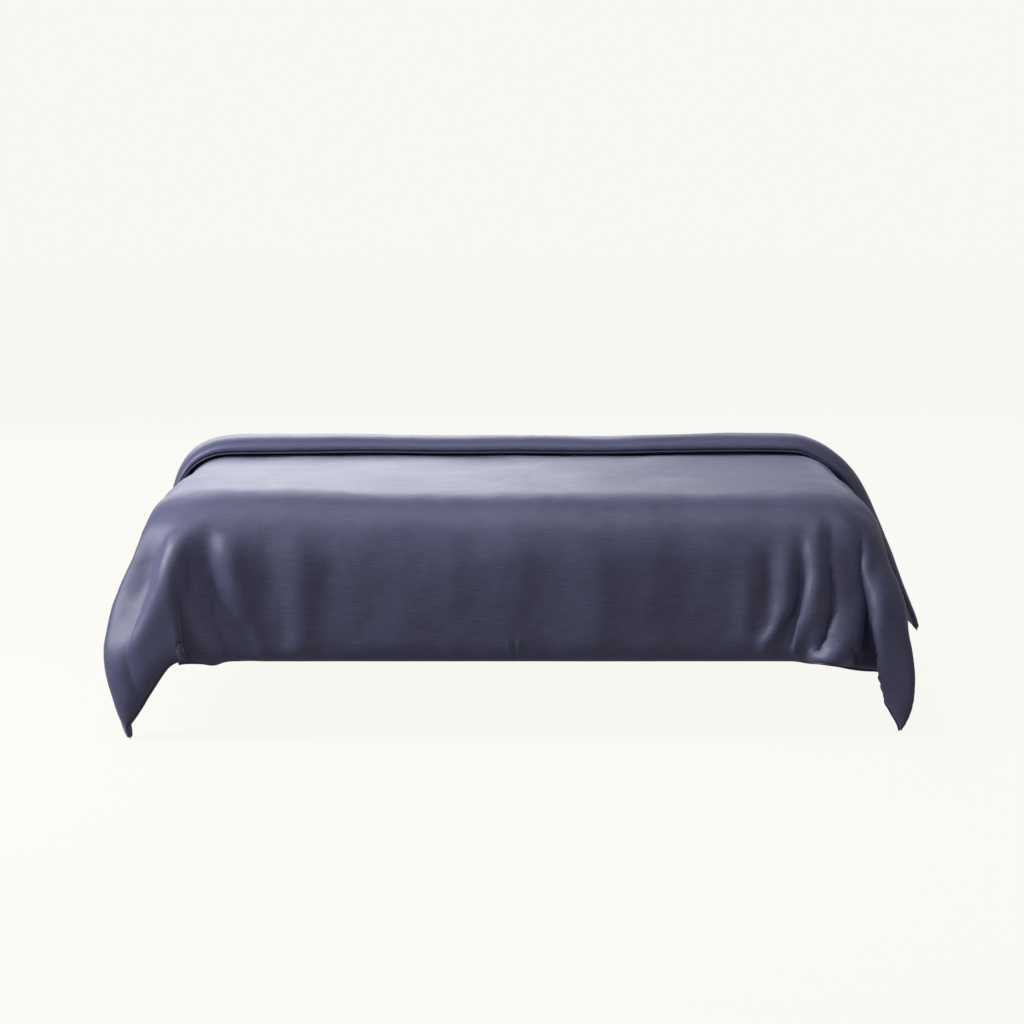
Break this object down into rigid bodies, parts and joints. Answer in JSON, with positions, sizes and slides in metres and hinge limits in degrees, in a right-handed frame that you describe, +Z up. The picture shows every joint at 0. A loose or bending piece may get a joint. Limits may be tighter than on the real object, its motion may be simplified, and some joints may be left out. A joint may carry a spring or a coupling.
{
  "type": "duvet in cover, draped on a bed",
  "caption": "Filled box-chamber duvet in a plain sateen cover, draped over a mattress with its head end turned back; concealed zip at the foot.",
  "frame": {"origin": "centre of the mattress top, on the duvet's flat underside", "axes": "+X across the bed to the right seen from the foot, +Y towards the head, +Z up"},
  "size_m": [1.84, 1.4359, 0.5835],
  "materials": {
    "cover_cloth": "satin",
    "cover_seam": "satin",
    "insert_cloth": "matte",
    "insert_fill": "matte",
    "label_cloth": "satin",
    "zip_tape": "matte",
    "zip_coil": "satin",
    "zip_metal": "satin"
  },
  "bodies": {
    "duvet": {"cover_face_panel": "cover_cloth", "cover_back_panel": "cover_cloth", "zip_facing": "cover_cloth", "side_seam_left": "cover_seam", "side_seam_right": "cover_seam", "head_seam": "cover_seam", "foot_seam": "cover_seam", "cover_ties": "cover_seam", "insert_face_shell": "insert_cloth", "insert_back_shell": "insert_cloth", "insert_edge_binding": "insert_cloth", "baffles_long": "insert_cloth", "baffles_cross": "insert_cloth", "insert_loops": "insert_cloth", "fill_row_1": "insert_fill", "fill_row_2": "insert_fill", "fill_row_3": "insert_fill", "fill_row_4": "insert_fill", "fill_foot_drop": "insert_fill", "fill_corner_left": "insert_fill", "fill_corner_right": "insert_fill", "fill_side_left": "insert_fill", "fill_side_right": "insert_fill", "fill_fold": "insert_fill", "fill_fold_left": "insert_fill", "fill_fold_right": "insert_fill", "care_label": "label_cloth", "zip_tape_upper": "zip_tape", "zip_tape_lower": "zip_tape", "zip_chain_upper": "zip_coil", "zip_chain_lower": "zip_coil", "zip_end_stops": "zip_metal"},
    "slider": {"zip_slider": "zip_metal", "puller_pin": "zip_metal"},
    "puller": {"zip_puller": "zip_metal"}
  },
  "joints": [
    {"name": "zip_slide", "type": "slide", "parent": "duvet", "child": "slider", "axis": [1, 0, 0], "range_m": [-1.164, 0]},
    {"name": "puller_hinge", "type": "hinge", "parent": "slider", "child": "puller", "pos_m": [0.5822, -1.10705, -0.289], "axis": [0, 0, -1], "range_deg": [0, 170]}
  ]
}
